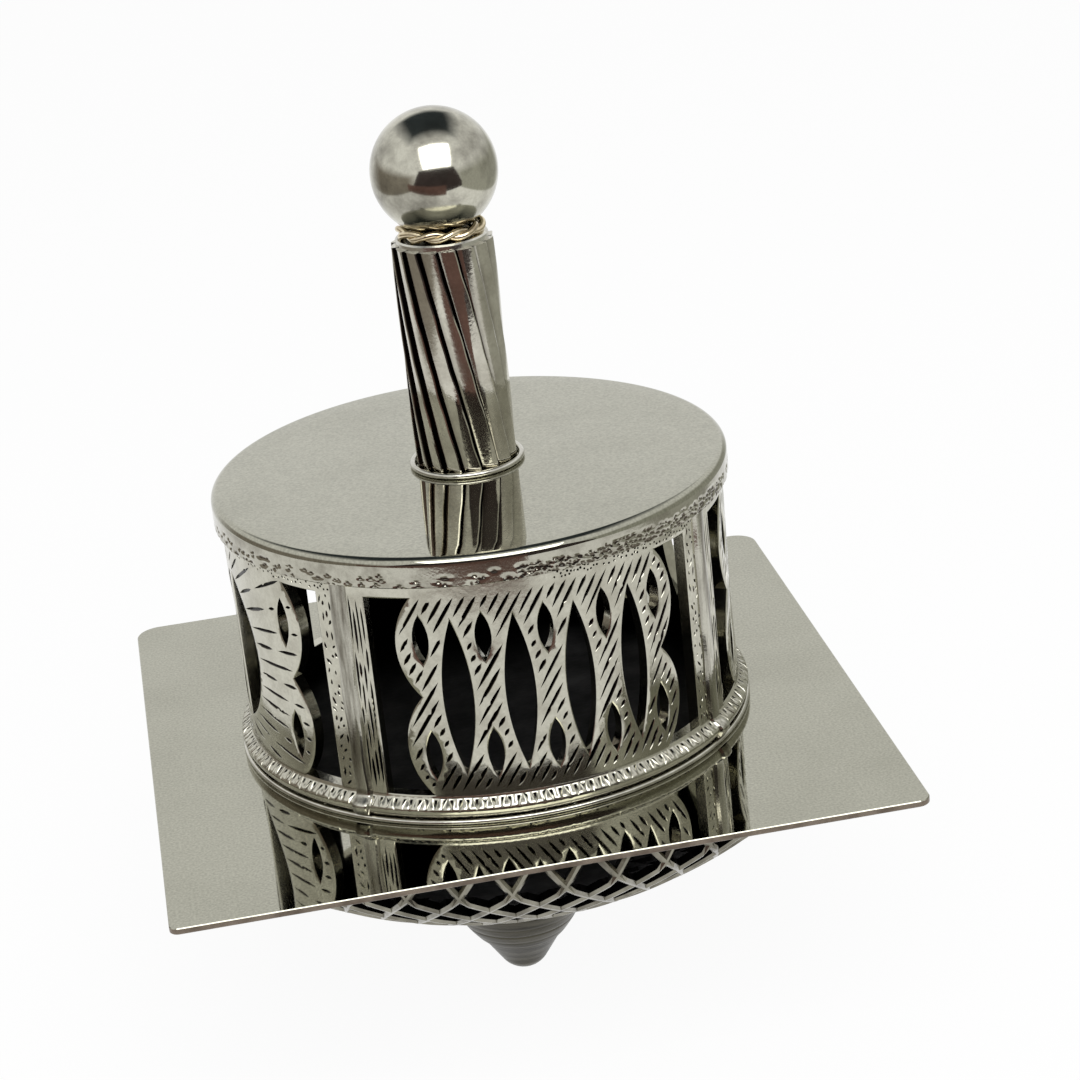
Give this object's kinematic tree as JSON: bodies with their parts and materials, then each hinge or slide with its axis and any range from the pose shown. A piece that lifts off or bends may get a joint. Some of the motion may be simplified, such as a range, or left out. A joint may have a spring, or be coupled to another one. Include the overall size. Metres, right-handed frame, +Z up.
{
  "type": "dreidel",
  "caption": "Four-sided spinning top in sheet silver: a pierced drum on a square plate, a lattice dome and rounded tip below, and a fluted finger stem with a ball above.",
  "frame": {"origin": "lowest point of the tip, on the spin axis", "axes": "+Z up along the spin axis towards the ball; the plate's sides lie along X and Y, and the side that faces the camera most is -Y"},
  "size_m": [0.0564, 0.0564, 0.0738],
  "materials": {
    "cast_tip": "dull turned sterling silver",
    "lattice_sheet": "saw-pierced sterling silver sheet, dark inside",
    "polished_sheet": "polished sterling silver sheet with a fine grain",
    "engraved_panel": "saw-pierced and engraved sterling silver sheet, dark inside",
    "drawn_wire": "drawn sterling silver wire and strip, rubbed bright",
    "fluted_tube": "fluted sterling silver tube, bright lands and dark grooves",
    "twisted_wire": "twisted sterling silver wire, warm from old solder",
    "polished_ball": "mirror polished sterling silver ball"
  },
  "bodies": {
    "root": {"tip": "cast_tip", "dome_lattice": "lattice_sheet", "square_plate": "polished_sheet", "panel_front": "engraved_panel", "panel_right": "engraved_panel", "panel_back": "engraved_panel", "panel_left": "engraved_panel", "foot_wire": "drawn_wire", "seam_strip_front_right": "drawn_wire", "seam_strip_back_right": "drawn_wire", "seam_strip_back_left": "drawn_wire", "seam_strip_front_left": "drawn_wire", "top_cover": "polished_sheet", "stem_base_ring": "drawn_wire", "stem_tube": "fluted_tube", "stem_cap": "drawn_wire", "ball_collar": "twisted_wire", "ball_lower_half": "polished_ball", "ball_upper_half": "polished_ball"}
  },
  "joints": []
}
